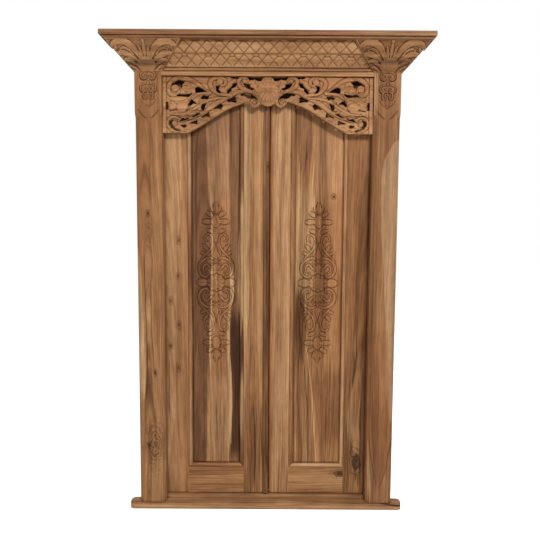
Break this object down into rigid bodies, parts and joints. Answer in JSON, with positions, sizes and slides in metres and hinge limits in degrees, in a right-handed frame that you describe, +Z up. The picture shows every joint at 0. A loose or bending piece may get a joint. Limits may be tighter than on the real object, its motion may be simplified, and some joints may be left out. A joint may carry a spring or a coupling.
{
  "type": "carved double door with frame",
  "caption": "Carved teak double door in its frame: panelled leaves on butt hinges, a pierced arched valance under the head, and a flared carved cornice over a horned threshold.",
  "frame": {"origin": "underside of the threshold, midway between the posts", "axes": "+X to the right across the opening, -Y out of the carved front, +Z up"},
  "size_m": [1.456, 0.2245, 2.2],
  "materials": {
    "frame_teak": "satin",
    "carved_teak": "satin",
    "leaf_teak": "satin",
    "panel_teak": "satin",
    "steel": "satin"
  },
  "bodies": {
    "frame": {"threshold": "frame_teak", "left_post": "frame_teak", "right_post": "frame_teak", "head_beam": "frame_teak", "head_stop": "frame_teak", "valance": "carved_teak", "lower_frieze": "carved_teak", "upper_frieze": "carved_teak", "left_capital": "carved_teak", "right_capital": "carved_teak", "cornice_cap": "frame_teak", "frame_hinge_screws": "steel", "left_bottom_hinge_frame_plate": "steel", "left_bottom_hinge_pin": "steel", "left_middle_hinge_frame_plate": "steel", "left_middle_hinge_pin": "steel", "left_top_hinge_frame_plate": "steel", "left_top_hinge_pin": "steel", "right_bottom_hinge_frame_plate": "steel", "right_bottom_hinge_pin": "steel", "right_middle_hinge_frame_plate": "steel", "right_middle_hinge_pin": "steel", "right_top_hinge_frame_plate": "steel", "right_top_hinge_pin": "steel"},
    "left_leaf": {"astragal": "leaf_teak", "left_hinge_stile": "leaf_teak", "left_meeting_stile": "leaf_teak", "left_top_rail": "leaf_teak", "left_bottom_rail": "leaf_teak", "left_panel": "panel_teak", "left_bead_hinge_side": "leaf_teak", "left_bead_meeting_side": "leaf_teak", "left_bead_top": "leaf_teak", "left_bead_bottom": "leaf_teak", "left_hinge_screws": "steel", "left_bottom_hinge_leaf_plate": "steel", "left_middle_hinge_leaf_plate": "steel", "left_top_hinge_leaf_plate": "steel"},
    "right_leaf": {"right_hinge_stile": "leaf_teak", "right_meeting_stile": "leaf_teak", "right_top_rail": "leaf_teak", "right_bottom_rail": "leaf_teak", "right_panel": "panel_teak", "right_bead_hinge_side": "leaf_teak", "right_bead_meeting_side": "leaf_teak", "right_bead_top": "leaf_teak", "right_bead_bottom": "leaf_teak", "right_hinge_screws": "steel", "right_bottom_hinge_leaf_plate": "steel", "right_middle_hinge_leaf_plate": "steel", "right_top_hinge_leaf_plate": "steel"}
  },
  "joints": [
    {"name": "left_swing", "type": "hinge", "parent": "frame", "child": "left_leaf", "pos_m": [-0.492, 0.051, 1], "axis": [0, 0, 1], "range_deg": [0, 170]},
    {"name": "right_swing", "type": "hinge", "parent": "frame", "child": "right_leaf", "pos_m": [0.492, 0.051, 1], "axis": [0, 0, -1], "range_deg": [0, 170]}
  ]
}
